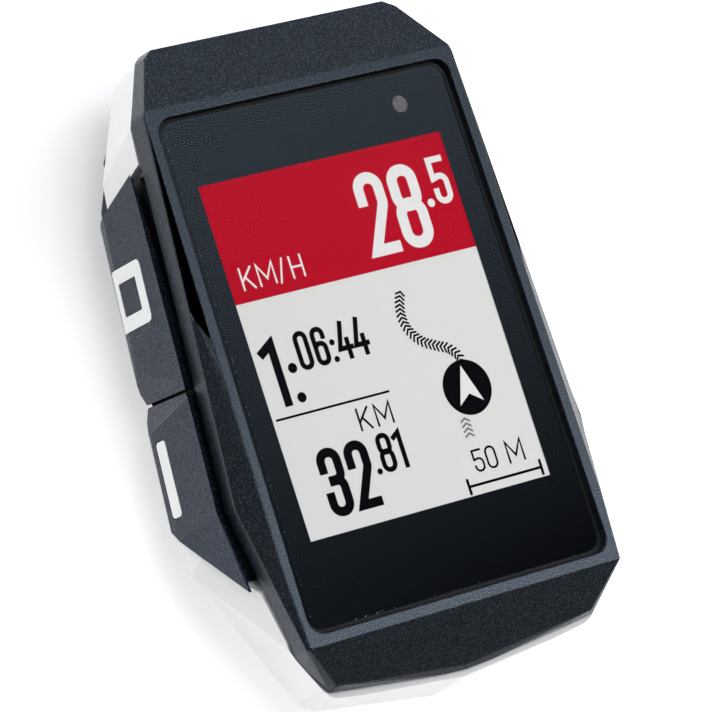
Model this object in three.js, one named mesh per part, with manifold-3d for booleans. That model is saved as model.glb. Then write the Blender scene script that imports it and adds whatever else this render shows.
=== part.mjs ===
// Handlebar cycling computer, modelled in millimetres.
// Design frame: the origin is the middle of the screen on the front face, +X to the rider's right,
// +Y to the top of the screen, +Z out of the screen. Depths below the front face are negative Z.
// The finished group is lifted so that the foot of the mount stands on z = 0.
import * as THREE from 'three';
import { ConvexGeometry } from 'three/addons/geometries/ConvexGeometry.js';
import { mergeVertices } from 'three/addons/utils/BufferGeometryUtils.js';
import Module from 'manifold-3d';

const wasm = await Module();
wasm.setup();

// ---- Driving dimensions -------------------------------------------------------------------

const BACK = -14.6;                 // rear face of the rear cover
const MOUNT_HEIGHT = 4.0;           // quarter-turn foot below the rear cover
const TOTAL_HEIGHT = MOUNT_HEIGHT - BACK;

const FACE_TOP = 25.5;              // flat front face, between the two end chamfers
const FACE_BOTTOM = -27.2;
const FACE_HALF_TOP = 17.7;
const FACE_HALF_BOTTOM = 18.1;
const TOP_EDGE = 31.6;              // outline of the dark front shell seen from the front
const TOP_SLOPE = 0.415;            // fall of the top chamfer per millimetre
const BOTTOM_SLOPE = 0.68;          // fall of the bottom chamfer per millimetre
const WIDEST = { x: 20.25, y: -12.3, z: -1.95 };
const SHELL_PLAN = [
  [13.4, TOP_EDGE], [14.2, 31.3], [14.6, 30.8], [17.85, 25.0], [WIDEST.x, WIDEST.y],
  [18.4, -27.3], [16.1, -31.2], [15.6, -31.7], [14.9, -32.0], [0, -33.3],
];
// The split between the dark front shell and the white middle, as depth along Y.
const RIM = [
  [32.5, -4.7], [30.8, -4.3], [25.0, -2.75], [12.0, -3.1], [-3.8, -3.5], [-12.6, -3.95],
  [-25.9, -2.6], [-31.5, -3.5], [-33.4, -4.3], [-36, -5.4],
];
const SEAM = 0.3;                   // joint between two casings, filled by a gasket

const REAR_SPLIT = -11.4;           // split between the white middle and the rear cover
const REAR_PLAN = [
  [12.0, 31.3], [13.15, 30.5], [13.75, 29.7], [17.75, 21.45], [18.15, 18.65], [21.15, -15.25],
  [21.35, -16.85], [14.75, -31.1], [14.15, -31.8], [13.25, -32.4], [0, -34.3],
];
const COVER_STEP = 0.25;            // how far the rear cover's edge is set in behind the white middle
const REAR_MID = -12.5;             // the rear cover starts to round towards the back here
const REAR_MID_PLAN = [
  [11.5, 30.4], [12.6, 29.6], [13.0, 29.0], [18.15, 19.0], [18.3, 18.1], [20.4, -15.25],
  [20.4, -16.55], [13.95, -30.5], [13.3, -31.2], [12.4, -31.8], [0, -33.4],
];
const BACK_PLAN = [
  [11.4, 28.6], [13.0, 27.4], [16.2, 20.6], [16.6, 18.0], [18.6, -15.0],
  [18.7, -16.6], [12.9, -29.2], [12.0, -30.3], [0, -31.9],
];
// The hollow inside all three casings.
const CAVITY = [[12.6, 28.0], [16.2, 22.8], [16.2, -24.6], [14.2, -28.3], [0, -28.3]];
const CAVITY_CEILING = -2.0;
const CAVITY_FLOOR = -12.9;

const WINDOW = { top: 24.45, bottom: -26.1, halfTop: 16.83, halfBottom: 17.45, corner: 1.6 };
const WINDOW_GAP = 0.4;             // open groove between the lens and the front housing
const LENS = { top: -0.12, back: -0.9 };
const LEDGE = -1.0;                 // shelf that the lens is glued to
const DISPLAY = { width: 28.03, height: 35.04 };
const SENSOR = { x: 10.65, y: 21.0, r: 1.0 };

// Side buttons: the outer face of the strip, from its top end to its bottom end.
const STRIP = { topY: 20.85, topX: 18.85, midY: -12.45, midX: 21.35, lowY: -20.35, lowX: 20.55 };
const STRIP_FRONT = -3.4;
const STRIP_BACK = -13.1;
// Section of the strip's outer face at its top and low ends: how far each depth stands out.
const STRIP_SECTION = [
  { z: STRIP_FRONT, top: 0, low: 0 },
  { z: -11.0, top: 0.15, low: 0.35 },
  { z: -12.2, top: -0.1, low: 0.2 },
  { z: STRIP_BACK, top: -0.8, low: -0.6 },
];
const STRIP_TOP_SLANT = 0.325;      // both ends of the strip lean, in Y per millimetre of depth
const STRIP_LOW_SLANT = 0.908;
const BUTTON_INNER = 18.4;
const POCKET_FLOOR = 17.0;
const BUTTON_AXIS_Z = -7.6;
const BUTTON_Y = { upper: 10.0, lower: -9.0 };
const FIT = 0.3;                    // free play round each moving piece

const BOARD = { front: -4.3, back: -5.3 };
const SCREWS = [[11.6, 25.2], [-11.6, 25.2], [12.6, -24.6], [-12.6, -24.6]];
const USB = { y: -24.6, width: 7.6, depth: 2.9 };
const FLAP = { halfWidth: 6.4, top: -20.6, bottom: -28.4, thick: 1.1 };
const BATTERY = { halfWidth: 11.2, top: 17.0, bottom: -19.0, front: -7.0, back: -12.1 };

// ---- Finishes -----------------------------------------------------------------------------

const paint = (color, roughness, metalness = 0) =>
  new THREE.MeshStandardMaterial({ color, roughness, metalness });

const FINISH = {
  darkShell: paint(0x3b4049, 0.62),
  whiteShell: paint(0xeeeeee, 0.35),
  button: paint(0x3c424b, 0.6),
  mark: paint(0xf2f1ef, 0.4),
  glass: paint(0x0b0d11, 0.08),
  screen: paint(0xe2dedd, 0.3),
  diffuser: paint(0xf4f4f0, 0.5),
  steel: paint(0xb4b6b8, 0.35, 1),
  board: paint(0x14532f, 0.5),
  flex: paint(0xa9651c, 0.5),
  chip: paint(0x17181a, 0.5),
  ceramic: paint(0xd8cfb8, 0.6),
  cell: paint(0xc3c6ca, 0.4, 0.6),
  foam: paint(0x2a2b2d, 0.9),
  rubber: paint(0x0e0f10, 0.85),
  sensor: paint(0x6a3a44, 0.3),
};

// ---- Small tools --------------------------------------------------------------------------

function toSolid(geometry) {
  const bare = geometry.index ? geometry.toNonIndexed() : geometry;
  for (const name of Object.keys(bare.attributes)) {
    if (name !== 'position') bare.deleteAttribute(name);
  }
  const merged = mergeVertices(bare, 1e-5);
  return new wasm.Manifold(new wasm.Mesh({
    numProp: 3,
    vertProperties: new Float32Array(merged.attributes.position.array),
    triVerts: new Uint32Array(merged.index.array),
  }));
}

function toGeometry(solid) {
  const data = solid.getMesh();
  const geometry = new THREE.BufferGeometry();
  geometry.setAttribute('position', new THREE.BufferAttribute(data.vertProperties, 3));
  geometry.setIndex(new THREE.BufferAttribute(data.triVerts, 1));
  geometry.computeVertexNormals();
  return geometry;
}

const group = new THREE.Group();

function place(name, solid, finish) {
  const mesh = new THREE.Mesh(toGeometry(solid), finish);
  mesh.name = name;
  group.add(mesh);
  return mesh;
}

const hull = (points) => toSolid(new ConvexGeometry(points.map((p) => new THREE.Vector3(...p))));

// A half outline, listed from top to bottom on the right, completed with its mirror image.
function bothSides(half) {
  const left = half.filter(([x]) => x > 0).map(([x, y]) => [-x, y]).reverse();
  return [...half, ...left];
}

function prism(outline, zLow, zHigh) {
  const shape = new THREE.Shape(outline.map(([x, y]) => new THREE.Vector2(x, y)));
  const settings = { depth: zHigh - zLow, bevelEnabled: false, curveSegments: 4 };
  return toSolid(new THREE.ExtrudeGeometry(shape, settings).translate(0, 0, zLow));
}

// An outline in Y and Z, extruded along X.
function sidePrism(outline, xLow, xHigh) {
  const shape = new THREE.Shape(outline.map(([y, z]) => new THREE.Vector2(y, z)));
  const geometry = new THREE.ExtrudeGeometry(shape, { depth: xHigh - xLow, bevelEnabled: false });
  const turn = new THREE.Matrix4().set(0, 0, 1, 0, 1, 0, 0, 0, 0, 1, 0, 0, 0, 0, 0, 1);
  return toSolid(geometry.applyMatrix4(turn).translate(xLow, 0, 0));
}

function block([x0, x1], [y0, y1], [z0, z1]) {
  const box = new THREE.BoxGeometry(x1 - x0, y1 - y0, z1 - z0);
  return toSolid(box.translate((x0 + x1) / 2, (y0 + y1) / 2, (z0 + z1) / 2));
}

function disc(x, y, radius, zLow, zHigh, sides = 20) {
  const cylinder = new THREE.CylinderGeometry(radius, radius, zHigh - zLow, sides);
  return toSolid(cylinder.rotateX(Math.PI / 2).translate(x, y, (zLow + zHigh) / 2));
}

function pin(y, z, radius, xLow, xHigh, sides = 16) {
  const cylinder = new THREE.CylinderGeometry(radius, radius, xHigh - xLow, sides);
  return toSolid(cylinder.rotateZ(Math.PI / 2).translate((xLow + xHigh) / 2, y, z));
}

// A four-sided outline with round corners.
function roundedOutline({ top, bottom, halfTop, halfBottom, corner }, grow = 0, steps = 4) {
  const corners = [
    [halfTop + grow - corner, top + grow - corner, 0],
    [-halfTop - grow + corner, top + grow - corner, 1],
    [-halfBottom - grow + corner, bottom - grow + corner, 2],
    [halfBottom + grow - corner, bottom - grow + corner, 3],
  ];
  return corners.flatMap(([x, y, quarter]) => Array.from({ length: steps + 1 }, (_, i) => {
    const angle = (quarter + i / steps) * Math.PI / 2;
    return [x + corner * Math.cos(angle), y + corner * Math.sin(angle)];
  }));
}

const outlineBox = (halfWidth, bottom, top, corner) =>
  ({ top, bottom, halfTop: halfWidth, halfBottom: halfWidth, corner });

// The outline pushed out sideways, used for seals and for the hollow.
const widen = (half, by) => half.map(([x, y]) => [x > 0 ? x + by : x, y + Math.sign(y) * by]);

const drop = (outline, by) => outline.map(([y, z]) => [y, z + by]);
const joinAll = (solids) => solids.reduce((sum, solid) => sum.add(solid));
const cutAll = (solid, cutters) => cutters.reduce((rest, cutter) => rest.subtract(cutter), solid);

// Everything above or below the rim line, shifted down by a step.
const aboveRim = (step) => sidePrism([...drop(RIM, step), [-36, 5], [32.5, 5]], -30, 30);
const belowRim = (step) => sidePrism([...drop(RIM, step), [-36, -30], [32.5, -30]], -30, 30);

// ---- Casings ------------------------------------------------------------------------------

const at = (outline, z) => bothSides(outline).map(([x, y]) => [x, y, z]);

function frontHull() {
  const chamferCorner = [14.6, 30.8, -(30.8 - FACE_TOP) * TOP_SLOPE];
  const topEdgeZ = -(TOP_EDGE - FACE_TOP) * TOP_SLOPE;
  const lowCorner = [14.9, -31.1, (-31.1 - FACE_BOTTOM) * BOTTOM_SLOPE];
  const right = [
    [FACE_HALF_TOP, FACE_TOP, 0],
    [FACE_HALF_BOTTOM, FACE_BOTTOM, 0],
    [18.42, -20, 0],
    [13.4, TOP_EDGE, topEdgeZ],
    chamferCorner,
    [17.85, 25.0, -0.15],
    [WIDEST.x, WIDEST.y, WIDEST.z],
    [18.4, -27.2, -0.3],
    lowCorner,
    [15.4, -31.5, -3.5],
  ];
  const mirrored = right.map(([x, y, z]) => [-x, y, z]);
  const middle = [[0, -32.55, (-32.55 - FACE_BOTTOM) * BOTTOM_SLOPE], [0, -33.3, -4.4]];
  return hull([...right, ...mirrored, ...middle, ...at(SHELL_PLAN, -6.5)]);
}

function makeFrontHousing() {
  const bosses = SCREWS.map(([x, y]) => disc(x, y, 1.9, -12.75, CAVITY_CEILING + 0.2, 14));
  const pilots = SCREWS.map(([x, y]) => disc(x, y, 0.9, -13, -6.0, 12));
  const shell = cutAll(frontHull().intersect(aboveRim(0)), [
    prism(roundedOutline(WINDOW), LEDGE, 1),
    prism(roundedOutline(outlineBox(15.9, -20.3, 20.3, 0.6)), -5, 0),
    prism(bothSides(CAVITY), -8, CAVITY_CEILING),
    disc(SENSOR.x, SENSOR.y, SENSOR.r + 0.15, -5, 0, 16),
  ]);
  place('front_housing', cutAll(joinAll([shell, ...bosses]), pilots), FINISH.darkShell);
}

const stripTopY = (z) => STRIP.topY + (z - STRIP_FRONT) * STRIP_TOP_SLANT;
const stripLowY = (z) => STRIP.lowY - (z - STRIP_FRONT) * STRIP_LOW_SLANT;

// Side channel for the buttons, slanted at both ends.
function channel(side, floor, gap) {
  const [front, back] = [1, STRIP_BACK - 0.4];
  const profile = [
    [stripTopY(front) + gap, front], [stripTopY(back) + gap, back],
    [stripLowY(back) - gap * 1.4, back], [stripLowY(front) - gap * 1.4, front],
  ];
  return side > 0 ? sidePrism(profile, floor, 30) : sidePrism(profile, -30, -floor);
}

function makeMidHousing() {
  const outer = hull([...at(SHELL_PLAN, -2.4), ...at(REAR_PLAN, REAR_SPLIT + 0.15)]);
  const holes = [];
  for (const side of [-1, 1]) {
    holes.push(channel(side, POCKET_FLOOR, FIT));
    for (const y of Object.values(BUTTON_Y)) {
      holes.push(pin(y, BUTTON_AXIS_Z, 1.7, side * 16.6 - 1.2, side * 16.6 + 1.2));
    }
  }
  const body = cutAll(outer.intersect(belowRim(-SEAM)), [
    prism(bothSides(CAVITY), -13, 0),
    ...holes,
  ]);
  place('mid_housing', body, FINISH.whiteShell);
}

function makeRearCover() {
  const outer = hull([
    ...at(widen(REAR_PLAN, -COVER_STEP), REAR_SPLIT - 0.15),
    ...at(REAR_MID_PLAN, REAR_MID),
    ...at(BACK_PLAN, BACK),
  ]);
  const heads = SCREWS.map(([x, y]) => disc(x, y, 2.1, BACK - 1, -13.5));
  const shanks = SCREWS.map(([x, y]) => disc(x, y, 1.0, BACK - 1, -12, 12));
  const mountScrews = [-1, 1].map((side) => disc(side * 6, 2, 0.85, BACK - 1, -12, 12));
  const vent = disc(8.5, -16.5, 0.6, BACK - 1, -12, 12);
  const flapSeat = outlineBox(FLAP.halfWidth + 0.25, FLAP.bottom - 0.25, FLAP.top + 0.25, 1.2);
  const body = cutAll(outer, [
    prism(bothSides(CAVITY), CAVITY_FLOOR, -11),
    channel(1, 17.4, FIT + 0.1),
    channel(-1, 17.4, FIT + 0.1),
    ...heads,
    ...shanks,
    ...mountScrews,
    vent,
    prism(roundedOutline(flapSeat), BACK - 1, BACK + FLAP.thick + 0.1),
    block([-4.3, 4.3], [USB.y - 1.9, USB.y + 1.9], [BACK - 1, -12]),
  ]);
  place('rear_cover', body, FINISH.darkShell);
}

function makeGaskets() {
  const ring = (low, high) =>
    prism(bothSides(widen(CAVITY, 0.65)), low, high)
      .subtract(prism(bothSides(widen(CAVITY, 0.05)), low - 1, high + 1));
  const front = ring(-6, 0).intersect(belowRim(-0.05)).intersect(aboveRim(-0.25));
  place('front_gasket', front, FINISH.rubber);
  place('rear_gasket', ring(REAR_SPLIT - 0.12, REAR_SPLIT + 0.12), FINISH.rubber);
}

// ---- Window and display -------------------------------------------------------------------

function makeWindow() {
  place('window_lens', prism(roundedOutline(WINDOW, -WINDOW_GAP), LENS.back, LENS.top), FINISH.glass);
  const opening = roundedOutline(outlineBox(15.95, -20.6, 20.6, 0.6));
  const tape = cutAll(prism(roundedOutline(WINDOW, -0.1), LEDGE, LENS.back), [
    prism(opening, -2, 0),
    disc(SENSOR.x, SENSOR.y, SENSOR.r + 0.3, -2, 0, 16),
  ]);
  place('window_tape', tape, FINISH.rubber);
}

function makeDisplay() {
  const w = DISPLAY.width / 2 + 1.1;
  const h = DISPLAY.height / 2 + 1.4;
  place('lcd_panel', block([-w, w], [-h - 0.5, h], [-1.9, -0.95]), FINISH.screen);
  place('lcd_backlight', block([-w, w], [-h - 0.5, h], [-2.9, -1.95]), FINISH.diffuser);
  const tray = block([-w - 0.45, w + 0.45], [-h - 0.95, h + 0.45], [-3.3, -1.2])
    .subtract(block([-w - 0.12, w + 0.12], [-h - 0.62, h + 0.12], [-2.98, 0]));
  place('lcd_frame', tray, FINISH.steel);
  const riser = block([-6, 6], [-20.95, -20.8], [-4.22, -2.2]);
  const foot = block([-6, 6], [-20.9, -17], [-4.22, -4.07]);
  place('lcd_flex', riser.add(foot), FINISH.flex);
}

// ---- Electronics --------------------------------------------------------------------------

function makeBoard() {
  const outline = [
    [9.2, 27.4], [9.2, 22.8], [15.2, 22.8], [15.8, 22.2], [15.8, -24.2], [13.9, -27.8], [0, -27.8],
  ];
  const notches = SCREWS.filter(([, y]) => y < 0).map(([x, y]) => disc(x, y, 2.2, -7, -3, 14));
  const board = cutAll(prism(bothSides(outline), BOARD.back, BOARD.front), notches);
  place('main_board', board, FINISH.board);

  const front = (name, x, y, z, finish) => place(name, block(x, y, [BOARD.front + 0.02, z]), finish);
  const back = (name, x, y, z, finish) => place(name, block(x, y, [z, BOARD.back - 0.02]), finish);
  front('gps_antenna', [-7, 7], [21.4, 27.0], -2.3, FINISH.ceramic);
  front('light_sensor', [9.2, 11.4], [20.95, 22.9], -3.6, FINISH.chip);
  back('shield_can', [-9, 9], [-12, 10], -6.7, FINISH.steel);
  back('radio_module', [1.5, 9.0], [18.2, 24.2], -6.9, FINISH.steel);
  back('barometer_sensor', [9.0, 12.0], [-19.5, -16.5], -6.4, FINISH.chip);
  back('battery_connector', [-10.0, -5.0], [-23.4, -20.0], -8.2, FINISH.mark);

  const pipe = disc(SENSOR.x, SENSOR.y, SENSOR.r, -3.5, -0.95, 16);
  place('light_pipe', pipe, FINISH.sensor);
  place('buzzer', disc(-5.8, 21.6, 3.4, -7.9, BOARD.back - 0.02), FINISH.chip);

  const jacket = block([-USB.width / 2, USB.width / 2],
    [USB.y - USB.depth / 2, USB.y + USB.depth / 2], [-13.2, BOARD.back - 0.02]);
  const mouth = block([-3.3, 3.3], [USB.y - 0.9, USB.y + 0.9], [-14, -8]);
  const tongue = block([-2.6, 2.6], [USB.y - 0.3, USB.y + 0.3], [-12.6, -7.9]);
  place('usb_socket', jacket.subtract(mouth).add(tongue), FINISH.steel);
}

function makeBattery() {
  const { halfWidth, top, bottom, front, back } = BATTERY;
  place('battery_cell', prism(roundedOutline(outlineBox(halfWidth, bottom, top, 1.2)), back, front),
    FINISH.cell);
  place('battery_pad', block([-9, 9], [-14, 12], [-12.85, -12.15]), FINISH.foam);
  const lead = block([-9.0, -6.0], [-21.5, -19.05], [-9.0, -8.25]);
  place('battery_lead', lead, FINISH.flex);
}

function makeSideSwitches() {
  for (const side of [-1, 1]) {
    const hand = side < 0 ? 'left' : 'right';
    const span = (a, b) => [Math.min(side * a, side * b), Math.max(side * a, side * b)];
    for (const [level, y] of Object.entries(BUTTON_Y)) {
      const body = block(span(12.7, 15.4), [y - 3, y + 3], [-9.2, BOARD.back - 0.02]);
      const [low, high] = span(15.3, 16.0);
      place(`switch_${hand}_${level}`, body.add(pin(y, BUTTON_AXIS_Z, 0.9, low, high, 12)),
        FINISH.steel);
    }
    const [sheetLow, sheetHigh] = span(POCKET_FLOOR + 0.05, 17.6);
    const sheet = sidePrism([[20.2, -4.6], [18.4, -11.2], [-13.2, -11.2], [-19.6, -4.6]],
      sheetLow, sheetHigh);
    const nubs = Object.values(BUTTON_Y).map((y) => {
      const [low, high] = span(16.2, 17.2);
      return pin(y, BUTTON_AXIS_Z, 1.3, low, high, 12);
    });
    place(`membrane_${hand}`, joinAll([sheet, ...nubs]), FINISH.rubber);
  }
}

// ---- Buttons ------------------------------------------------------------------------------

function stripHull(side, sink = 0) {
  const { topX, midY, midX, lowX } = STRIP;
  const face = STRIP_SECTION.flatMap((row) => {
    const z = row.z === STRIP_BACK ? row.z + sink : row.z;
    const low = row.z === STRIP_FRONT ? [[lowX, stripLowY(z), z], [midX, midY, z]]
      : [[midX + row.low, stripLowY(z), z]];
    return [[topX + row.top, stripTopY(z), z], ...low];
  });
  const inner = [STRIP_FRONT, STRIP_BACK + sink].flatMap((z) => [
    [BUTTON_INNER, stripTopY(z), z], [BUTTON_INNER, stripLowY(z), z],
  ]);
  return hull([
    ...face.map(([x, y, z]) => [side * (x - sink), y, z]),
    ...inner.map(([x, y, z]) => [side * x, y, z]),
  ]);
}

// Groove between the two buttons, wider and deeper towards the back of the case.
function valley(side) {
  const section = (z, high, low, deepest, depth) => {
    const surface = 20.6;
    return [
      [side * surface, high, z], [side * surface, low, z], [side * (surface - depth), deepest, z],
      [side * (surface + 2.0), high + 1.0, z], [side * (surface + 2.0), low - 1.0, z],
    ];
  };
  return hull([...section(-3.0, 0.8, -1.25, -0.7, 0.35), ...section(-13.4, 4.2, -3.0, -0.1, 1.3)]);
}

// Clearance under the dark shell's rim, with the sloping inner lip of the strip.
function shellClearance(side) {
  const ring = (push, z) => SHELL_PLAN.map(([x, y]) => [side * (x + push), y, z]);
  const inner = SHELL_PLAN.map(([x, y]) => [side * 10, y, -4.6]);
  return hull([...ring(1.3, -2.8), ...ring(0.45, -4.6), ...inner]);
}

const markOutlines = {
  upper: {
    outer: [[7.0, -12.5], [7.0, -6.8], [7.2, -6.35], [7.6, -6.2], [12.5, -6.2], [12.9, -6.35],
      [13.1, -6.8], [13.1, -12.5]],
    inner: [[8.45, -11.05], [8.45, -7.65], [11.65, -7.65], [11.65, -11.05]],
  },
  lower: {
    outer: [[-11.3, -10.85], [-11.3, -9.65], [-11.0, -9.35], [-4.2, -9.35], [-3.9, -9.65],
      [-3.9, -10.85], [-4.2, -11.15], [-11.0, -11.15]],
    inner: null,
  },
};

function makeButtons() {
  for (const side of [-1, 1]) {
    const hand = side < 0 ? 'left' : 'right';
    const span = side > 0 ? [17, 25] : [-25, -17];
    const strip = cutAll(stripHull(side), [valley(side), shellClearance(side)]);
    const skin = strip.subtract(stripHull(side, 0.4));
    const core = stripHull(side, 0.5);
    const split = FIT / 2;
    const halves = {
      upper: [[-0.7 + split, 0], [-0.05 + split, -14], [30, -14], [30, 0]],
      lower: [[-0.7 - split, 0], [-0.05 - split, -14], [-30, -14], [-30, 0]],
    };
    for (const [level, half] of Object.entries(halves)) {
      const { outer, inner } = markOutlines[level];
      let stencil = sidePrism(outer, ...span);
      let seat = sidePrism(outer.map(([y, z]) => growFrom(outer, y, z, 0.07)), ...span);
      if (inner) {
        stencil = stencil.subtract(sidePrism(inner, ...span));
        seat = seat.subtract(sidePrism(inner.map(([y, z]) => growFrom(inner, y, z, -0.07)), ...span));
      }
      const [low, high] = side > 0 ? [18.15, 18.6] : [-18.6, -18.15];
      const nub = pin(BUTTON_Y[level], BUTTON_AXIS_Z, 1.3, low, high, 12);
      const body = strip.intersect(sidePrism(half, ...span)).subtract(seat.subtract(core)).add(nub);
      place(`button_${hand}_${level}`, body, FINISH.button);
      place(`mark_${hand}_${level}`, stencil.intersect(skin), FINISH.mark);
    }
  }
}

// Moves a point of an outline away from the outline's middle by a small step.
function growFrom(outline, y, z, by) {
  const middleY = (Math.min(...outline.map((p) => p[0])) + Math.max(...outline.map((p) => p[0]))) / 2;
  const middleZ = (Math.min(...outline.map((p) => p[1])) + Math.max(...outline.map((p) => p[1]))) / 2;
  return [y + Math.sign(y - middleY) * by, z + Math.sign(z - middleZ) * by];
}

// ---- Back ---------------------------------------------------------------------------------

function makeMount() {
  const foot = BACK - MOUNT_HEIGHT;
  const base = disc(0, 2, 12.5, BACK - 1.2, BACK, 40);
  const neck = disc(0, 2, 9.8, foot, BACK - 1.1, 36);
  const wings = disc(0, 2, 13.0, foot, foot + 1.3, 40)
    .intersect(block([-15, 15], [-4.5, 8.5], [foot - 1, 0]));
  const recess = disc(0, 2, 3.4, foot - 1, foot + 0.9, 28);
  const screwHoles = [-6, 6].flatMap((x) => [
    disc(x, 2, 0.95, foot - 1, BACK + 1, 12),
    disc(x, 2, 1.9, foot - 1, foot + 1.6, 16),
  ]);
  place('mount', cutAll(joinAll([base, neck, wings]), [recess, ...screwHoles]), FINISH.darkShell);
  for (const [name, x] of [['mount_screw_left', -6], ['mount_screw_right', 6]]) {
    const screw = disc(x, 2, 1.7, foot + 0.5, foot + 1.5, 16)
      .add(disc(x, 2, 0.7, foot + 1.4, -13.0, 12))
      .subtract(disc(x, 2, 0.7, foot, foot + 1.0, 6));
    place(name, screw, FINISH.steel);
  }
}

function makeCaseScrews() {
  SCREWS.forEach(([x, y], index) => {
    const screw = disc(x, y, 1.85, -14.3, -13.6, 16)
      .add(disc(x, y, 0.75, -13.7, -7.0, 12))
      .subtract(disc(x, y, 0.8, -15, -13.9, 6));
    place(`case_screw_${index + 1}`, screw, FINISH.steel);
  });
}

function makeVentAndFlap() {
  place('vent_membrane', disc(8.5, -16.5, 1.6, CAVITY_FLOOR + 0.02, CAVITY_FLOOR + 0.22, 16), FINISH.foam);
  const { halfWidth, top, bottom, thick } = FLAP;
  const lid = prism(roundedOutline(outlineBox(halfWidth, bottom, top, 1.0)), BACK, BACK + thick);
  const gripSlot = block([-2.2, 2.2], [bottom - 1, bottom + 0.9], [BACK - 1, BACK + 0.5]);
  const plug = block([-3.0, 3.0], [USB.y - 0.65, USB.y + 0.65], [BACK + 0.5, -12.75]);
  place('usb_cover', lid.subtract(gripSlot).add(plug), FINISH.rubber);
}

makeFrontHousing();
makeMidHousing();
makeRearCover();
makeGaskets();
makeWindow();
makeDisplay();
makeBoard();
makeBattery();
makeSideSwitches();
makeButtons();
makeMount();
makeCaseScrews();
makeVentAndFlap();

// The part stands on its mount, centred on its outline.
group.position.set(0, (34.3 - TOP_EDGE) / 2, TOTAL_HEIGHT);

export default group;
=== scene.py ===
from math import cos, pi, radians, sin

import bmesh
import bpy
from mathutils import Matrix, Vector


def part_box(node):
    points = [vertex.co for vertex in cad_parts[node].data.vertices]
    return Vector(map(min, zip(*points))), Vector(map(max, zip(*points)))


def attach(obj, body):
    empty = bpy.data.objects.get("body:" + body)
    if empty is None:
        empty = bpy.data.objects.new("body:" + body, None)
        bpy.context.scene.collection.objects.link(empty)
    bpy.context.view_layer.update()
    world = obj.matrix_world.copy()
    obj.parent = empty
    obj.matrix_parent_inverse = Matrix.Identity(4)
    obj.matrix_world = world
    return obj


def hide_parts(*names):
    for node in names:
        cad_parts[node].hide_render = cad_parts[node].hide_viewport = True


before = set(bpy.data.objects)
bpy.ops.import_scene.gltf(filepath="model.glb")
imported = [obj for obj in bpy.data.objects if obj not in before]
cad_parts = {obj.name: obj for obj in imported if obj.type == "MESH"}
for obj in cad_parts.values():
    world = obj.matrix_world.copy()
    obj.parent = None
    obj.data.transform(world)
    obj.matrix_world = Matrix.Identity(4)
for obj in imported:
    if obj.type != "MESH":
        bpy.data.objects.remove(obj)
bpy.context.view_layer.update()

MM = 0.001


# ---- Camera --------------------------------------------------------------------------------
# A long lens looks down on the computer from its left side and its lower end, so that the
# screen runs up to the right and the left-hand keys show.
CAMERA_PLACE = Vector((-256.48, -43.07, 416.2)) * MM
CAMERA_RIGHT = Vector((0.8184, -0.3040, 0.488))
CAMERA_UP = Vector((0.2111, 0.9482, 0.236))

SENSOR_WIDTH, FOCAL_LENGTH = 36, 252.8     # in mm

camera = bpy.data.objects.new("camera", bpy.data.cameras.new("camera"))
bpy.context.scene.collection.objects.link(camera)
right = CAMERA_RIGHT.normalized()
back = right.cross(CAMERA_UP).normalized()
up = back.cross(right)
turned = Matrix((right, up, back)).transposed().to_4x4()
camera.matrix_world = Matrix.Translation(CAMERA_PLACE) @ turned
camera.data.sensor_width = SENSOR_WIDTH
camera.data.lens = FOCAL_LENGTH
camera.data.clip_start, camera.data.clip_end = 0.01, 10
bpy.context.scene.camera = camera
bpy.context.scene.view_settings.view_transform = "Standard"


# ---- Floor and studio light ----------------------------------------------------------------
# A plain pale card under the computer, on a light table that glows from below. A bright studio
# behind the top end fades to a dim one behind the camera, and three soft boxes light it: a large
# one overhead, a low one at the top left, and a small one that only touches the face.
def linear(hex_colour):
    """The linear colour, with alpha 1, of an sRGB hex value."""
    made = []
    for i in (0, 2, 4):
        c = int(hex_colour.lstrip("#")[i:i + 2], 16) / 255
        made.append(c / 12.92 if c <= 0.04045 else ((c + 0.055) / 1.055) ** 2.4)
    return (*made, 1.0)


def add_node(tree, kind, inputs=None, **settings):
    """One node with its settings, and each input set to a value or linked to another's output."""
    made = tree.nodes.new(kind)
    for name, value in settings.items():
        setattr(made, name, value)
    for socket, value in (inputs or {}).items():
        if isinstance(value, bpy.types.NodeSocket):
            tree.links.new(value, made.inputs[socket])
        else:
            made.inputs[socket].default_value = value
    return made


def new_finish(name, **surface):
    """A material with one Principled surface; returns it, its tree and that node."""
    made = bpy.data.materials.new(name)
    made.use_nodes = True
    tree = made.node_tree
    tree.nodes.clear()
    shader = add_node(tree, "ShaderNodeBsdfPrincipled", surface)
    add_node(tree, "ShaderNodeOutputMaterial", {"Surface": shader.outputs["BSDF"]})
    return made, tree, shader


def grain(tree, size_mm, detail=2.0, roughness=0.5):
    """A noise whose features are about size_mm across, on the piece's own coordinates."""
    place = add_node(tree, "ShaderNodeTexCoord").outputs["Object"]
    return add_node(tree, "ShaderNodeTexNoise", {
        "Vector": place, "Scale": 1 / (size_mm * MM), "Detail": detail, "Roughness": roughness,
    }).outputs["Fac"]


def dress(tree, shader, colour, roughness=None, relief=None):
    """Lets patterns mix the colour of the surface, and set its roughness and its relief in mm."""
    pattern, low, high = colour
    mixed = add_node(tree, "ShaderNodeMix", {0: pattern, 6: linear(low), 7: linear(high)},
                     data_type="RGBA").outputs[2]
    tree.links.new(mixed, shader.inputs["Base Color"])
    if roughness:
        pattern, low, high = roughness
        eased = add_node(tree, "ShaderNodeMapRange", {
            "Value": pattern, "From Min": 0.3, "From Max": 0.7, "To Min": low, "To Max": high})
        tree.links.new(eased.outputs["Result"], shader.inputs["Roughness"])
    if relief:
        pattern, depth_mm, strength = relief
        bump = add_node(tree, "ShaderNodeBump", {
            "Height": pattern, "Distance": depth_mm * MM, "Strength": strength})
        tree.links.new(bump.outputs["Normal"], shader.inputs["Normal"])
    return mixed


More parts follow.
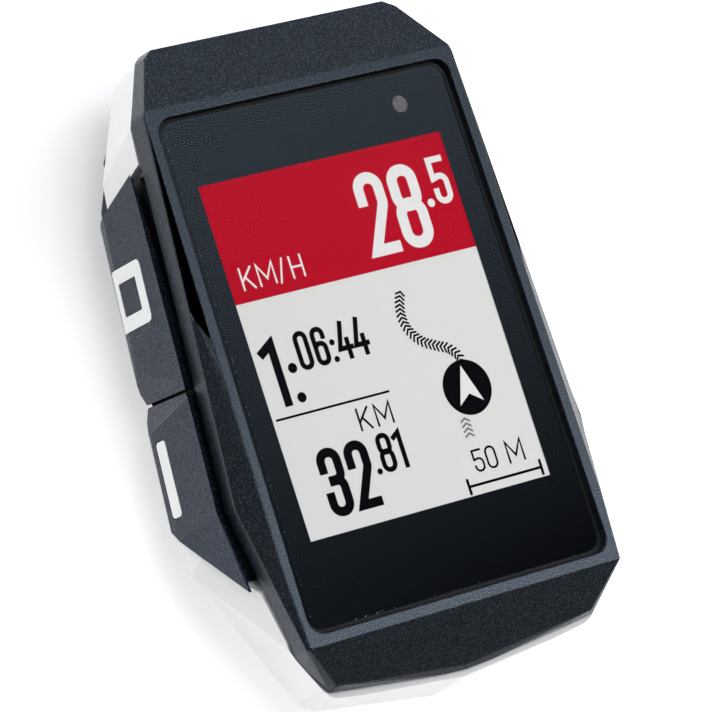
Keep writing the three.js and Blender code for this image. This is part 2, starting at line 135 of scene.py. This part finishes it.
FLOOR_SIZE = 6.0
LOWER_END, UPPER_END = -0.03, 0.03         # where the glow of the table changes, in m
bpy.ops.object.select_all(action="DESELECT")
bpy.ops.mesh.primitive_plane_add(size=FLOOR_SIZE)
floor = bpy.context.object
floor.name = "floor"
card, tree, shader = new_finish("matt_white_card", Roughness=0.9)
paper = dress(tree, shader, (grain(tree, 40.0), "#f8f8f8", "#fbfbfb"))
tree.links.new(paper, shader.inputs["Emission Color"])
place = add_node(tree, "ShaderNodeTexCoord").outputs["Object"]
up_table = add_node(tree, "ShaderNodeSeparateXYZ", {"Vector": place}).outputs["Y"]
# The table is lit from below, most under the computer's lower end.
glow = add_node(tree, "ShaderNodeMapRange", {
    "Value": up_table, "From Min": LOWER_END, "From Max": UPPER_END,
    "To Min": 0.85, "To Max": 0.35})
tree.links.new(glow.outputs["Result"], shader.inputs["Emission Strength"])
floor.data.materials.append(card)

BEHIND = (-0.2, 0.98, 0.0)         # towards the bright wall, past the computer's top end
world = bpy.data.worlds.new("studio")
bpy.context.scene.world = world
world.use_nodes = True
tree = world.node_tree
tree.nodes.clear()
direction = add_node(tree, "ShaderNodeTexCoord").outputs["Generated"]
behind = add_node(tree, "ShaderNodeVectorMath", {0: direction, 1: BEHIND},
                  operation="DOT_PRODUCT").outputs["Value"]
across = add_node(tree, "ShaderNodeSeparateXYZ", {"Vector": direction}).outputs["X"]
brightness = 1.0
for value, start, end, dim, bright in (
        (behind, -0.08, 0.12, 0.02, 2.1),      # the wall begins just past the computer,
        (behind, 0.12, 0.35, 1.0, 0.24),       # is brightest where it begins,
        (across, -0.6, 0.3, 0.1, 1.0)):        # and fades to the left
    share = add_node(tree, "ShaderNodeMapRange", {
        "Value": value, "From Min": start, "From Max": end, "To Min": dim, "To Max": bright})
    brightness = add_node(tree, "ShaderNodeMath", {0: brightness, 1: share.outputs["Result"]},
                          operation="MULTIPLY").outputs["Value"]
backdrop = add_node(tree, "ShaderNodeBackground", {
    "Color": (0.86, 0.93, 1.0, 1), "Strength": brightness})
add_node(tree, "ShaderNodeOutputWorld", {"Surface": backdrop.outputs["Background"]})


def soft_box(name, towards, distance, width, height, power):
    """A rectangular studio light aimed at the computer: width is level, height is across it."""
    made = bpy.data.objects.new(name, bpy.data.lights.new(name, "AREA"))
    bpy.context.scene.collection.objects.link(made)
    made.data.shape = "RECTANGLE"
    made.data.size, made.data.size_y = width, height
    made.data.energy = power
    aim = Vector(towards).normalized()
    made.location = aim * distance + Vector((0, 0, 0.01))
    made.rotation_euler = aim.to_track_quat("Z", "Y").to_euler()


soft_box("key_box", (-0.12, 0.30, 0.95), 0.90, 0.60, 0.60, 3.4)
soft_box("back_box", (-0.62, 0.76, 0.14), 0.80, 0.60, 0.24, 2.6)
soft_box("face_box", (0.53, -0.19, 0.83), 0.34, 0.08, 0.16, 0.52)


# ---- Casings -------------------------------------------------------------------------------
# Three injection-moulded shells, screwed together from the back: a dark PC-ABS front, a white
# polycarbonate middle and a dark rear cover. Every outer edge has the small radius of its mould.
def select_only(piece):
    bpy.ops.object.select_all(action="DESELECT")
    piece.select_set(True)
    bpy.context.view_layer.objects.active = piece


def moulding(node, name, radius_mm, segments=3):
    """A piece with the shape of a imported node, its facets joined and its edges rounded."""
    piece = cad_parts[node].copy()
    piece.data = piece.data.copy()
    piece.name = piece.data.name = name
    piece.parent = None
    for key in list(piece.keys()):
        del piece[key]
    bpy.context.scene.collection.objects.link(piece)
    select_only(piece)
    bpy.ops.mesh.customdata_custom_splitnormals_clear()
    bpy.ops.object.mode_set(mode="EDIT")
    bpy.ops.mesh.select_all(action="SELECT")
    bpy.ops.mesh.remove_doubles(threshold=1e-6)
    bpy.ops.mesh.dissolve_limited(angle_limit=radians(1.5))
    bpy.ops.object.mode_set(mode="OBJECT")
    piece.data.materials.clear()
    if radius_mm:
        round_edges(piece, radius_mm, segments)
    return piece


ARC_TURN = radians(24)             # facets of holes and arcs turn by less than this
SOFT_TURN = radians(7)             # long edges that turn by more than this are rounded too
LONG_EDGE = 2.0 * MM


def round_edges(piece, radius_mm, segments):
    """Rounds the sharp edges and the long blunt ones, and evens the shading of the flats."""
    made = bmesh.new()
    made.from_mesh(piece.data)
    weight = made.edges.layers.float.new("bevel_weight_edge")
    for edge in made.edges:
        turn = edge.calc_face_angle(0.0)
        soft = turn > SOFT_TURN and edge.calc_length() > LONG_EDGE
        edge[weight] = float(turn > ARC_TURN or soft)
    made.to_mesh(piece.data)
    made.free()
    select_only(piece)
    bpy.ops.object.shade_smooth()
    edges = piece.modifiers.new("edges", "BEVEL")
    edges.width = radius_mm * MM
    edges.segments = segments
    edges.limit_method = "WEIGHT"
    edges.use_clamp_overlap = True
    edges.harden_normals = True
    edges.miter_outer = "MITER_ARC"
    bpy.ops.object.modifier_apply(modifier=edges.name)


def finished(piece, material, body, *nodes, slot=None):
    """Gives the piece its material, its body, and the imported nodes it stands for."""
    piece.data.materials.clear()
    piece.data.materials.append(material)
    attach(piece, body)
    if nodes:
        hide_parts(*nodes)
    return piece


# PC-ABS from a spark-eroded mould: a fine even grain, whose crests are painted lighter as flecks:
# painted glints. The grain is drawn at 0.15 mm, about twice the real one, so that it shows.
def grained_plastic(name, low, high, glint_colour, shine=0.5, gloss_tint=(0.66, 0.80, 1.0, 1.0)):
    made, tree, shader = new_finish(name, **{
        "IOR": 1.5, "Specular IOR Level": shine, "Specular Tint": gloss_tint})
    fine = grain(tree, 0.15, 1.0, 0.5)
    base = dress(tree, shader, (grain(tree, 6.0, 1.0), low, high), (fine, 0.48, 0.24),
                 (fine, 0.04, 0.8))
    # The crests of the fine grain are painted in the lighter glint colour: painted glints.
    glint_mask = add_node(tree, "ShaderNodeMapRange", {
        "Value": fine, "From Min": 0.53, "From Max": 0.66})
    glint_painted = add_node(tree, "ShaderNodeMix", {
        0: glint_mask.outputs["Result"], 6: base, 7: linear(glint_colour)}, data_type="RGBA")
    tree.links.new(glint_painted.outputs[2], shader.inputs["Base Color"])
    return made


# The last colour is painted on the grain's crests as glints.
dark_shell = grained_plastic("grained_dark_pc_abs", "#060709", "#090a0c", "#3a4049")

# Polished-mould polycarbonate, white all through: smooth and half glossy, with the faintest
# waviness left by shrinkage.
white_shell, tree, shader = new_finish("gloss_white_polycarbonate", IOR=1.58)
dress(tree, shader, (grain(tree, 9.0), "#dededd", "#e3e3e2"), (grain(tree, 2.5), 0.30, 0.36),
      (grain(tree, 3.0, 1.0), 0.01, 0.3))

finished(moulding("front_housing", "front_shell", 0.16), dark_shell, "case",
         "front_housing", slot="dark_shell")
finished(moulding("mid_housing", "middle_shell", 0.35), white_shell, "case",
         "mid_housing", slot="white_shell")
finished(moulding("rear_cover", "rear_shell", 0.30), dark_shell, "case",
         "rear_cover", slot="dark_shell")


# ---- Mount foot ----------------------------------------------------------------------------
# A quarter-turn foot of the same dark plastic, held to the rear cover by two countersunk
# screws; its two wings lock under the handlebar cradle.
finished(moulding("mount", "mount_foot", 0.25), dark_shell, "case", "mount", slot="dark_shell")


# ---- Keys ----------------------------------------------------------------------------------
# Four hard caps on the sides, moulded like the shells and pressed inward one by one. Each has
# a white mark moulded through it, flush with its face.
# The same grain and the same painted glints in plain ABS, with less gloss and a bluer one than the
# shells.
key_plastic = grained_plastic("grained_key_abs", "#06080b", "#090b0f", "#3a414d", shine=0.35,
                              gloss_tint=(0.42, 0.60, 1.0, 1.0))
mark_plastic, tree, shader = new_finish("white_two_shot_abs", IOR=1.53)
dress(tree, shader, (grain(tree, 4.0), "#e2e2e1", "#e8e8e7"), (grain(tree, 0.4), 0.38, 0.46))
for side in ("left", "right"):
    for level in ("upper", "lower"):
        place = side + "_" + level
        finished(moulding("button_" + place, "key_" + place, 0.20), key_plastic,
                 place + "_button", "button_" + place, slot="button_shell")
        finished(moulding("mark_" + place, "key_mark_" + place, 0.05, 2), mark_plastic,
                 place + "_button", "mark_" + place, slot="white_mark")


# ---- Charging flap -------------------------------------------------------------------------
# A tethered plug of soft black rubber that closes the charging socket on the back.
def plain_finish(name, low, high, size_mm, rough_low, rough_high, depth_mm=0.005, **surface):
    """A moulded, cast or rolled finish: a slight change of colour, roughness and relief."""
    made, tree, shader = new_finish(name, **surface)
    fine = grain(tree, size_mm)
    dress(tree, shader, (fine, low, high), (fine, rough_low, rough_high), (fine, depth_mm, 0.4))
    return made


# Moulded soft rubber: matt black with a fine eroded skin.
rubber = plain_finish("moulded_black_rubber", "#0e0f11", "#17181a", 0.20, 0.60, 0.76, IOR=1.5)
finished(moulding("usb_cover", "charging_flap", 0.18), rubber, "flap", "usb_cover",
         slot="flap_rubber")


# ---- Seals ---------------------------------------------------------------------------------
# Black silicone cords lie in the two joints of the case, and a silicone sheet behind each pair
# of keys keeps the water out and pushes the keys back.
silicone = plain_finish("moulded_black_silicone", "#0b0c0e", "#131417", 0.30, 0.45, 0.60,
                        IOR=1.43)


def keep(material, *nodes):
    """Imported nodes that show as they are, with this material."""
    for node in nodes:
        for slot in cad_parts[node].material_slots:
            slot.material = material


keep(silicone, "front_gasket", "rear_gasket", "membrane_left", "membrane_right")


# ---- Display -------------------------------------------------------------------------------
# A white reflective liquid crystal panel in a steel tray. Its picture lies in the panel's top
# layer: a red speed band, a white field, and black or white figures.
LCD_FRONT = 17.652                 # just in front of the panel, in mm
FIELD = {"x": 0.0, "y": 1.35, "width": 28.03, "height": 35.04}
LAYER = 0.006                      # thickness of one layer of the picture, in mm
BAND_BOTTOM = 5.77


def extruded(name, corners, top_mm, thick_mm):
    """A flat plate with these corners, in mm on the display, with its front face at top_mm."""
    mesh = bpy.data.meshes.new(name)
    place = [((FIELD["x"] + x) * MM, (FIELD["y"] + y) * MM, top_mm * MM) for x, y in corners]
    mesh.from_pydata(place, [], [range(len(place))])
    return thickened(name, mesh, thick_mm)


def thickened(name, mesh, thick_mm):
    piece = bpy.data.objects.new(name, mesh)
    bpy.context.scene.collection.objects.link(piece)
    select_only(piece)
    sheet = piece.modifiers.new("sheet", "SOLIDIFY")
    sheet.thickness = thick_mm * MM
    sheet.offset = -1
    bpy.ops.object.modifier_apply(modifier=sheet.name)
    return piece


def rounded(path, radii, closed):
    """The path with its corners turned into arcs of these radii."""
    made = []
    for i, here in enumerate(path):
        radius = radii[i]
        if radius <= 0 or (not closed and i in (0, len(path) - 1)):
            made.append(here)
            continue
        before = (path[i - 1] - here).normalized()
        after = (path[(i + 1) % len(path)] - here).normalized()
        half = before.angle(after) / 2
        reach = radius / max(sin(half) / cos(half), 1e-6)
        centre = here + (before + after).normalized() * (radius / sin(half))
        start, end = here + before * reach - centre, here + after * reach - centre
        turn = start.angle_signed(end)
        steps = max(3, int(abs(turn) / 0.2))
        for k in range(steps + 1):
            spin = Matrix.Rotation(-turn * k / steps, 2)
            made.append(centre + spin @ start)
    return made


def stroke(name, path, radii, width, closed, top_mm, layer_mm=LAYER):
    """A flat stroke of constant width along a path, as one plate."""
    points = rounded([Vector(p) for p in path], radii, closed)
    if not closed:
        points[0] += (points[0] - points[1]).normalized() * width / 2
        points[-1] += (points[-1] - points[-2]).normalized() * width / 2
    last = len(points) - 1
    outer, inner = [], []
    for i, here in enumerate(points):
        before = points[i - 1] if closed or i else None
        after = points[(i + 1) % len(points)] if closed or i < last else None
        a = (here - before).normalized() if before is not None else (after - here).normalized()
        b = (after - here).normalized() if after is not None else a
        along = (a + b).normalized()
        across = Vector((-along.y, along.x))
        reach = width / 2 / max(across.dot(Vector((-a.y, a.x))), 0.4)
        outer.append(here + across * reach)
        inner.append(here - across * reach)
    count = len(points)
    corners = [((FIELD["x"] + p.x) * MM, (FIELD["y"] + p.y) * MM, top_mm * MM)
               for p in outer + inner]
    links = count if closed else count - 1
    faces = [(i, count + i, count + (i + 1) % count, (i + 1) % count) for i in range(links)]
    mesh = bpy.data.meshes.new(name)
    mesh.from_pydata(corners, [], faces)
    return thickened(name, mesh, layer_mm)


def combined(name, parts, merge=False):
    """The parts as one piece: fused into one body where they cross, or only joined."""
    first, *rest = parts
    for part in rest if merge else ():
        select_only(first)
        union = first.modifiers.new("union", "BOOLEAN")
        union.operation, union.solver, union.object = "UNION", "EXACT", part
        bpy.ops.object.modifier_apply(modifier=union.name)
        bpy.data.objects.remove(part)
    if rest and not merge:
        select_only(first)
        for part in rest:
            part.select_set(True)
        bpy.ops.object.join()
    first.name = first.data.name = name
    return first


# Each figure as strokes in a box from (0, 0) to (1, 1): points, how round each corner is as a
# share of half the box, and whether the stroke closes on itself.
FIGURES = {
    "0": [([(0, 0), (1, 0), (1, 1), (0, 1)], [1, 1, 1, 1], True)],
    "1": [([(0, 0.87), (1, 0.99), (1, 0)], [0, 0, 0], False)],
    "2": [([(0, 0.70), (0, 1), (1, 1), (1, 0.62), (0, 0.0), (1, 0)], [0, 1, 1, 0.9, 0, 0], False)],
    "3": [([(0, 0.74), (0, 1), (1, 1), (1, 0.53), (0.42, 0.53)], [0, 1, 1, 0.8, 0], False),
          ([(0.42, 0.52), (1, 0.52), (1, 0), (0, 0), (0, 0.27)], [0, 0.8, 1, 1, 0], False)],
    "4": [([(0.55, 1), (0, 0.27), (1, 0.27)], [0, 0, 0], False),
          ([(0.74, 0.50), (0.74, 0)], [0, 0], False)],
    "5": [([(0.95, 1), (0, 1), (0, 0.56), (1, 0.64), (1, 0), (0, 0), (0, 0.25)],
           [0, 0, 0, 1, 1, 1, 0], False)],
    "6": [([(0, 0), (1, 0), (1, 0.58), (0, 0.58)], [1, 1, 1, 1], True),
          ([(0, 0.3), (0, 1), (1, 1), (1, 0.76)], [0, 1, 1, 0], False)],
    "8": [([(0, 0), (1, 0), (1, 0.54), (0, 0.54)], [1, 1, 1, 1], True),
          ([(0.03, 0.51), (0.97, 0.51), (0.97, 1), (0.03, 1)], [0.92, 0.92, 0.92, 0.92], True)],
    "K": [([(0, 0), (0, 1)], [0, 0], False), ([(1, 1), (0.02, 0.36)], [0, 0], False),
          ([(0.34, 0.58), (1, 0)], [0, 0], False)],
    "M": [([(0, 0), (0, 1), (0.5, 0.28), (1, 1), (1, 0)], [0, 0, 0, 0, 0], False)],
    "H": [([(0, 0), (0, 1)], [0, 0], False), ([(1, 0), (1, 1)], [0, 0], False),
          ([(0, 0.5), (1, 0.5)], [0, 0], False)],
    "/": [([(0, 0), (1, 1)], [0, 0], False)],
}


def figure(sign, left, right, bottom, top, width, top_mm):
    """One figure or letter that fills a box on the display, in mm."""
    wide, high = right - left - width, top - bottom - width
    parts = []
    for step, (path, round_corners, closed) in enumerate(FIGURES[sign]):
        points = [(left + width / 2 + u * wide, bottom + width / 2 + v * high) for u, v in path]
        radii = [share * 0.48 * wide for share in round_corners]
        proud = step * 0.0008      # crossing strokes don't share a plane, so that they fuse
        parts.append(stroke("figure", points, radii, width, closed, top_mm + proud,
                            LAYER + 2 * proud))
    return combined("figure", parts, merge=True)


def disc(x, y, radius, top_mm, corners=24):
    ring = [(x + radius * cos(2 * pi * k / corners), y + radius * sin(2 * pi * k / corners))
            for k in range(corners)]
    return extruded("disc", ring, top_mm, LAYER)


def bar(x0, x1, y0, y1, top_mm):
    return extruded("bar", [(x0, y0), (x1, y0), (x1, y1), (x0, y1)], top_mm, LAYER)


INK = LCD_FRONT + 3 * LAYER + 0.004    # front of the figures
half_width, half_height = FIELD["width"] / 2, FIELD["height"] / 2
OVERSIZE = 0.3                         # the picture runs on behind the printed border, in mm
side, foot_y, head_y = half_width + OVERSIZE, -half_height - OVERSIZE, half_height + OVERSIZE
lit_field = bar(-side, side, foot_y, head_y, LCD_FRONT + LAYER)
speed_band = bar(-side, side, BAND_BOTTOM, head_y, LCD_FRONT + 2 * LAYER + 0.002)
lit_field.name = lit_field.data.name = "lit_field"
speed_band.name = speed_band.data.name = "speed_band"
white_signs = [
    figure("2", 2.47, 5.83, 7.0, 15.3, 1.12, INK),
    figure("8", 6.33, 9.90, 6.9, 15.3, 1.15, INK),
    figure("5", 11.33, 13.35, 10.5, 15.3, 0.62, INK),
    disc(10.6, 10.9, 0.42, INK),
    figure("K", -12.6, -11.15, 6.9, 9.15, 0.21, INK),
    figure("M", -10.7, -8.75, 6.9, 9.15, 0.21, INK),
    figure("/", -8.45, -7.55, 6.75, 9.2, 0.20, INK),
    figure("H", -6.95, -5.5, 6.9, 9.15, 0.21, INK),
]
black_signs = [
    figure("1", -13.25, -11.25, -4.7, 1.95, 0.88, INK),
    disc(-10.1, -1.27, 0.5, INK), disc(-10.1, -4.17, 0.5, INK),
    figure("0", -9.17, -7.57, -1.82, 2.0, 0.50, INK),
    figure("6", -7.23, -5.63, -1.82, 2.0, 0.50, INK),
    disc(-5.07, 0.17, 0.3, INK), disc(-5.07, -1.5, 0.3, INK),
    figure("4", -4.62, -2.83, -1.82, 2.0, 0.50, INK),
    figure("4", -2.78, -1.00, -1.82, 2.0, 0.50, INK),
    bar(-13.6, -0.6, -5.82, -5.6, INK),
    figure("K", -4.93, -3.50, -8.75, -6.5, 0.22, INK),
    figure("M", -2.95, -1.02, -8.75, -6.5, 0.22, INK),
    figure("3", -10.80, -8.10, -16.05, -9.35, 0.92, INK),
    figure("2", -7.67, -5.00, -16.0, -9.35, 0.92, INK),
    disc(-4.33, -12.87, 0.3, INK),
    figure("8", -3.88, -2.18, -13.2, -9.35, 0.50, INK),
    figure("1", -2.02, -0.92, -13.2, -9.4, 0.50, INK),
    figure("5", 6.07, 7.25, -15.47, -13.2, 0.22, INK),
    figure("0", 7.55, 8.80, -15.47, -13.2, 0.22, INK),
    figure("M", 10.0, 11.95, -15.47, -13.2, 0.22, INK),
    bar(4.87, 13.17, -16.7, -16.44, INK),
    bar(4.57, 4.87, -17.37, -15.77, INK), bar(13.17, 13.47, -17.37, -15.77, INK),
    disc(8.0, -7.27, 2.73, INK, 64),
]

# The route ahead: a chain of small chevrons along a curve, and the last of the route behind.
ROUTE = [(8.23, -4.57), (8.07, -3.97), (7.23, -3.13), (6.07, -2.63), (4.57, -1.80),
         (3.57, -0.47), (3.30, 0.87), (3.57, 2.20), (4.17, 3.53)]
CHEVRON_PITCH = 0.43
CHEVRON = [(-0.44, -0.24), (0.0, 0.06), (0.44, -0.24)]


def along(path, pitch):
    """Places and directions at equal steps along a smooth curve through the path."""
    ends = [Vector(p) for p in path]
    dense = []
    for i in range(len(ends) - 1):
        p0, p1, p2, p3 = ends[max(i - 1, 0)], ends[i], ends[i + 1], ends[min(i + 2, len(ends) - 1)]
        for k in range(12):
            t = k / 12
            dense.append(0.5 * (2 * p1 + (p2 - p0) * t + (2 * p0 - 5 * p1 + 4 * p2 - p3) * t * t
                                + (3 * p1 - p0 - 3 * p2 + p3) * t ** 3))
    dense.append(ends[-1])
    made, walked, due = [], 0.0, 0.0
    for a, b in zip(dense, dense[1:]):
        step = (b - a).length
        while due <= walked + step:
            made.append((a + (b - a) * ((due - walked) / step), (b - a).normalized()))
            due += pitch
        walked += step
    return made


def chevron(place, heading):
    side = Vector((heading.y, -heading.x))
    points = [place + side * x + heading * y for x, y in CHEVRON]
    return stroke("chevron", points, [0, 0, 0], 0.20, False, INK)


black_signs += [chevron(place, heading) for place, heading in along(ROUTE, CHEVRON_PITCH)]
grey_signs = [chevron(Vector((6.6, -10.15 - 0.5 * k)), Vector((0.05, 1)).normalized())
              for k in range(4)]
arrow_head = extruded("position_arrow", [(8.0, -5.05), (6.6, -8.87), (8.0, -7.9), (9.4, -8.87)],
                      INK + LAYER + 0.002, LAYER)


# Reflective liquid crystal behind its polariser: paper white with a soft painted glow, so that the
# picture stays even when the light on the computer changes.
def picture_finish(name, low, high, glow):
    made, tree, shader = new_finish(name, **{"Roughness": 0.6, "Specular IOR Level": 0.0})
    shade = dress(tree, shader, (grain(tree, 0.35), low, high))
    tree.links.new(shade, shader.inputs["Emission Color"])
    # The picture gives off light of its own: a painted glow, set by glow.
    shader.inputs["Emission Strength"].default_value = glow
    return made


white_field = picture_finish("lcd_white_field", "#dcd8d7", "#dfdbda", 0.06)
red_field = picture_finish("lcd_red_field", "#b4061f", "#b60922", 0.06)
white_ink = picture_finish("lcd_white_figures", "#e4e0df", "#e8e4e3", 0.06)
black_ink = picture_finish("lcd_black_figures", "#020203", "#060607", 0.0)
grey_ink = picture_finish("lcd_grey_figures", "#7c7a79", "#828080", 0.03)
finished(lit_field, white_field, "case", slot="display_glass")
finished(speed_band, red_field, "case", slot="display_glass")
finished(combined("white_figures", white_signs + [arrow_head]), white_ink, "case",
         slot="display_glass")
finished(combined("black_figures", black_signs), black_ink, "case", slot="display_glass")
finished(combined("grey_figures", grey_signs), grey_ink, "case", slot="display_glass")

lcd_glass = plain_finish("dark_display_glass", "#0c0e10", "#101316", 3.0, 0.12, 0.18, 0.001,
                         IOR=1.52)
keep(lcd_glass, "lcd_panel")


# ---- Window --------------------------------------------------------------------------------
# A hardened glass pane glued over the display. Its rear face is printed black all round the
# picture, with a small clear dot in front of the daylight sensor.
PRINT_TOP, PRINT_BOTTOM = 17.716, 17.700   # heights in mm
GLASS_BOTTOM = 17.76
MID_GLASS = 18.0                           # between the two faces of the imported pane
SENSOR_RADIUS = 0.85


def levels(piece, split_mm, low_mm, high_mm):
    """Moves all below split_mm to the height low_mm, and all above it to high_mm if given."""
    for vertex in piece.data.vertices:
        if vertex.co.z < split_mm * MM:
            vertex.co.z = low_mm * MM
        elif high_mm is not None:
            vertex.co.z = high_mm * MM


def cut_away(piece, cutter):
    select_only(piece)
    cut = piece.modifiers.new("cut", "BOOLEAN")
    cut.operation, cut.solver, cut.object = "DIFFERENCE", "EXACT", cutter
    bpy.ops.object.modifier_apply(modifier=cut.name)
    bpy.data.objects.remove(cutter)


border = moulding("window_lens", "window_print", 0.0)
levels(border, MID_GLASS, PRINT_BOTTOM, PRINT_TOP)
bpy.ops.object.select_all(action="DESELECT")
bpy.ops.mesh.primitive_cube_add(
    size=MM, location=(FIELD["x"] * MM, FIELD["y"] * MM, PRINT_TOP * MM),
    scale=(FIELD["width"], FIELD["height"], 2.0))
cut_away(border, bpy.context.object)
sensor_low, sensor_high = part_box("light_pipe")
sensor_centre = (sensor_low + sensor_high) / 2
bpy.ops.object.select_all(action="DESELECT")
bpy.ops.mesh.primitive_cylinder_add(
    vertices=40, radius=SENSOR_RADIUS * MM, depth=2 * MM,
    location=(sensor_centre.x, sensor_centre.y, PRINT_TOP * MM))
cut_away(border, bpy.context.object)
# Screen-printed ceramic ink, seen through the glass: black, with the cold mirror gloss of the
# glass that it is fired on to.
print_ink = plain_finish("black_ceramic_print", "#020203", "#040405", 0.5, 0.03, 0.04, 0.0002,
                         **{"IOR": 1.42, "Specular Tint": (0.70, 0.83, 1.0, 1.0)})
finished(border, print_ink, "case", slot="cover_glass")

pane = moulding("window_lens", "window_pane", 0.0)
levels(pane, MID_GLASS, GLASS_BOTTOM, None)
round_edges(pane, 0.08, 2)
# Polished glass with an anti-glare coating, drawn without the slight bending of light so that
# the picture keeps its place. Only its front has gloss, because its rear is bonded.
clear_glass = bpy.data.materials.new("polished_cover_glass")
clear_glass.use_nodes = True
tree = clear_glass.node_tree
tree.nodes.clear()
see_through = add_node(tree, "ShaderNodeBsdfTransparent", {"Color": (0.98, 0.985, 0.98, 1)})
gloss = add_node(tree, "ShaderNodeBsdfGlossy", {"Color": (0.72, 0.84, 1.0, 1), "Roughness": 0.03})
share = add_node(tree, "ShaderNodeFresnel", {"IOR": 1.2}).outputs["Fac"]
rear = add_node(tree, "ShaderNodeNewGeometry").outputs["Backfacing"]
front_share = add_node(tree, "ShaderNodeMath", {0: share, 1: rear}, operation="SUBTRACT",
                       use_clamp=True).outputs["Value"]
surface = add_node(tree, "ShaderNodeMixShader", {
    0: front_share, 1: see_through.outputs["BSDF"], 2: gloss.outputs["BSDF"]})
add_node(tree, "ShaderNodeOutputMaterial", {"Surface": surface.outputs["Shader"]})
finished(pane, clear_glass, "case", "window_lens", slot="cover_glass")

# Double-sided foam tape round the pane, and the tinted resin rod of the daylight sensor.
tape = plain_finish("black_foam_tape", "#060607", "#0c0c0d", 0.3, 0.8, 0.9)
keep(tape, "window_tape")
sensor_resin = plain_finish("tinted_sensor_resin", "#473f46", "#756c70", 0.5, 0.15, 0.3, IOR=1.5)
keep(sensor_resin, "light_pipe")


# ---- Display parts behind the picture ------------------------------------------------------
# A sheet of frosted acrylic spreads the reading light, a folded stainless tray holds panel and
# sheet together, and an amber flexible circuit leads from them to the board.
diffuser = plain_finish("frosted_acrylic", "#e4e7ea", "#eef0f1", 0.6, 0.42, 0.55, IOR=1.49)
keep(diffuser, "lcd_backlight")


def rolled_metal(name, low, high, rough_low, rough_high):
    """Bare sheet metal with the fine lines of its rolling."""
    made, tree, shader = new_finish(name, Metallic=1.0)
    place = add_node(tree, "ShaderNodeTexCoord").outputs["Object"]
    drawn_out = add_node(tree, "ShaderNodeMapping", {"Vector": place, "Scale": (1.0, 14.0, 14.0)})
    lines = add_node(tree, "ShaderNodeTexNoise", {
        "Vector": drawn_out.outputs["Vector"], "Scale": 1 / (2.0 * MM), "Detail": 3.0,
    }).outputs["Fac"]
    dress(tree, shader, (lines, low, high), (lines, rough_low, rough_high), (lines, 0.003, 0.4))
    return made


stainless = rolled_metal("rolled_stainless_steel", "#b4b6b8", "#c6c8c9", 0.22, 0.36)
keep(stainless, "lcd_frame")
polyimide = plain_finish("amber_polyimide", "#8f5214", "#a5631d", 1.2, 0.28, 0.40, IOR=1.7)
keep(polyimide, "lcd_flex")


# ---- Electronics ---------------------------------------------------------------------------
# A green board carries a shielded radio, a satellite antenna, the pressure sensor, the buzzer
# and four side switches; the charging socket is soldered to its lower end.
solder_mask, tree, shader = new_finish("green_solder_mask", IOR=1.55)
place = add_node(tree, "ShaderNodeTexCoord").outputs["Object"]
tracks = add_node(tree, "ShaderNodeTexVoronoi", {"Vector": place, "Scale": 1 / (1.6 * MM)},
                  feature="DISTANCE_TO_EDGE", distance="CHEBYCHEV").outputs["Distance"]
copper = add_node(tree, "ShaderNodeMapRange", {
    "Value": tracks, "From Min": 0.05, "From Max": 0.09, "To Min": 1.0, "To Max": 0.0,
}).outputs["Result"]
dress(tree, shader, (copper, "#0c3f25", "#17613b"), (grain(tree, 0.8), 0.22, 0.34),
      (copper, 0.03, 0.6))
keep(solder_mask, "main_board")
keep(stainless, "shield_can", "radio_module", "usb_socket",
     "switch_left_upper", "switch_left_lower", "switch_right_upper", "switch_right_lower")
epoxy = plain_finish("moulded_black_epoxy", "#101113", "#191a1c", 0.25, 0.45, 0.58, IOR=1.55)
keep(epoxy, "light_sensor", "barometer_sensor", "buzzer")
nylon = plain_finish("cream_nylon", "#d9cfb6", "#e3dac4", 0.9, 0.38, 0.50, IOR=1.53)
keep(nylon, "battery_connector")
ceramic = plain_finish("silvered_ceramic", "#cfc6b2", "#dcd4c3", 0.5, 0.35, 0.5, IOR=1.7)
keep(ceramic, "gps_antenna")


# ---- Battery -------------------------------------------------------------------------------
# A lithium pouch in crimped aluminium foil, held to the rear cover by a pad of black foam and
# plugged into the board by a short flexible lead.
foil, tree, shader = new_finish("laminated_aluminium_foil", Metallic=1.0)
crinkle = grain(tree, 3.5, 3.0)
dress(tree, shader, (crinkle, "#b9bcc0", "#cfd2d5"), (crinkle, 0.28, 0.42), (crinkle, 0.12, 0.5))
keep(foil, "battery_cell")
foam = plain_finish("closed_cell_foam", "#1c1d1f", "#2b2c2e", 0.25, 0.85, 0.95, 0.03)
keep(foam, "battery_pad", "vent_membrane")
keep(polyimide, "battery_lead")


# ---- Screws --------------------------------------------------------------------------------
# Four pan-head screws close the case from the back and two countersunk ones hold the mount foot;
# all have a hexagon socket and are blackened by the same bath.
screw_steel = plain_finish("blackened_screw_steel", "#3b3d40", "#4b4e52", 0.25, 0.30, 0.42, 0.004,
                           Metallic=1.0)
keep(screw_steel, "case_screw_1", "case_screw_2", "case_screw_3", "case_screw_4",
     "mount_screw_left", "mount_screw_right")
